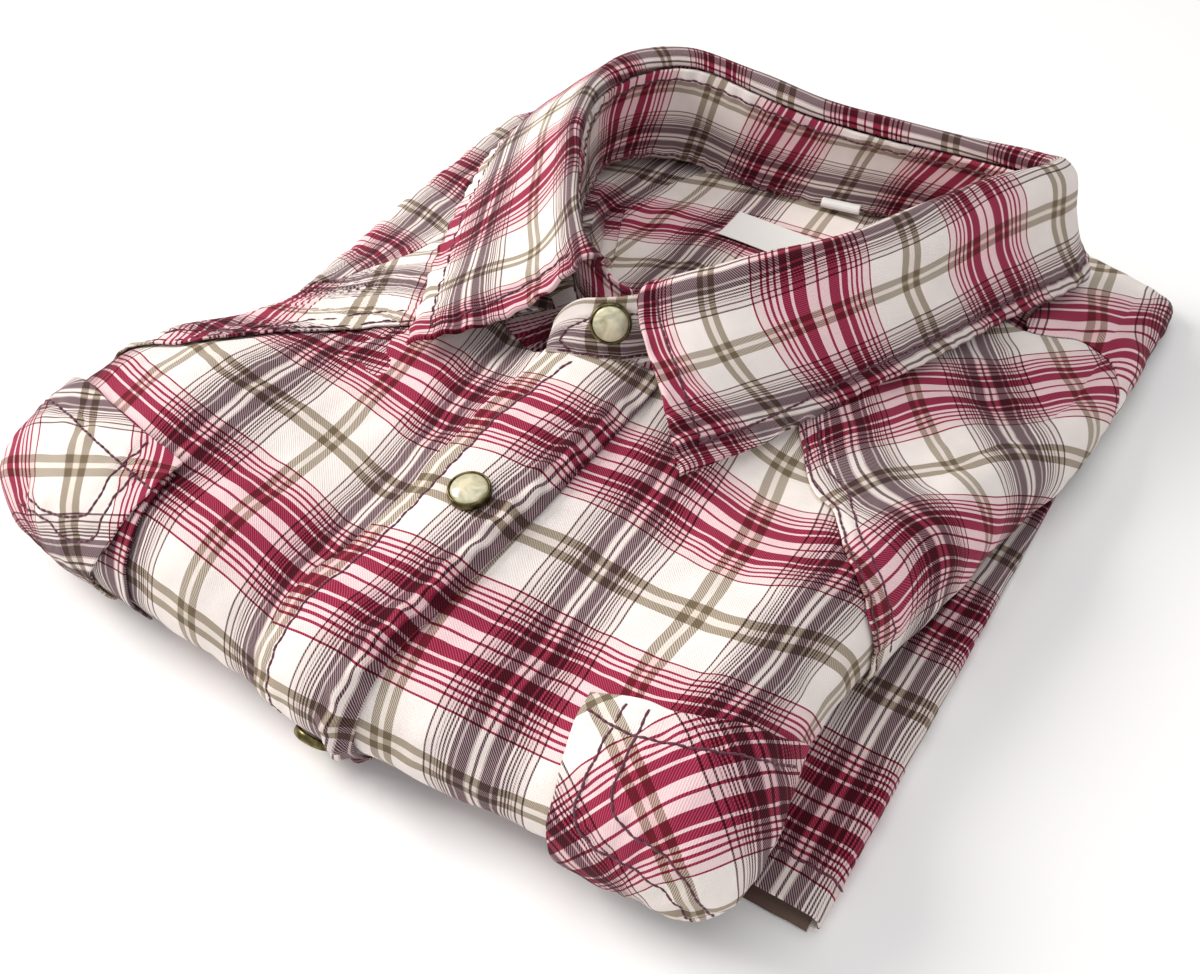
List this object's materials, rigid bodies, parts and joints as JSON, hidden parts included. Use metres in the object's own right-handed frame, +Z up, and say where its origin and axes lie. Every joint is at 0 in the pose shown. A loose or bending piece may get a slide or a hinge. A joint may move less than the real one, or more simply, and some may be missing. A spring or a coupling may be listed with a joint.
{
  "type": "folded western snap shirt",
  "caption": "Short-sleeved plaid western shirt folded for the shelf, front up, with a standing collar, pointed yokes, flap pockets and pearl snaps on a front placket.",
  "frame": {"origin": "middle of the base of the folded shirt, on the surface that it lies on", "axes": "+Z up from that surface, +Y from the bottom fold towards the back of the collar, +X towards the wearer's left"},
  "size_m": [0.2894, 0.3334, 0.0888],
  "materials": {
    "plaid_cloth": "yarn-dyed cotton twill, burgundy, plum and olive plaid on cream",
    "antique_brass": "antiqued",
    "pearl": "pearlised resin",
    "label_ribbon": "woven satin ribbon"
  },
  "bodies": {
    "root": {"hidden_layers": "plaid_cloth", "front_left": "plaid_cloth", "front_right": "plaid_cloth", "placket": "plaid_cloth", "front_yoke_left": "plaid_cloth", "front_yoke_right": "plaid_cloth", "back_yoke": "plaid_cloth", "pocket_left": "plaid_cloth", "pocket_right": "plaid_cloth", "pocket_flap_left": "plaid_cloth", "pocket_flap_right": "plaid_cloth", "collar_stand": "plaid_cloth", "collar_fall": "plaid_cloth", "sleeve_left_head": "plaid_cloth", "sleeve_left_fold": "plaid_cloth", "sleeve_right": "plaid_cloth", "snap_collar_ring": "antique_brass", "snap_front_1_ring": "antique_brass", "snap_front_2_ring": "antique_brass", "snap_collar_cap": "pearl", "snap_front_1_cap": "pearl", "snap_front_2_cap": "pearl", "neck_label": "label_ribbon", "size_tab": "label_ribbon"}
  },
  "joints": []
}
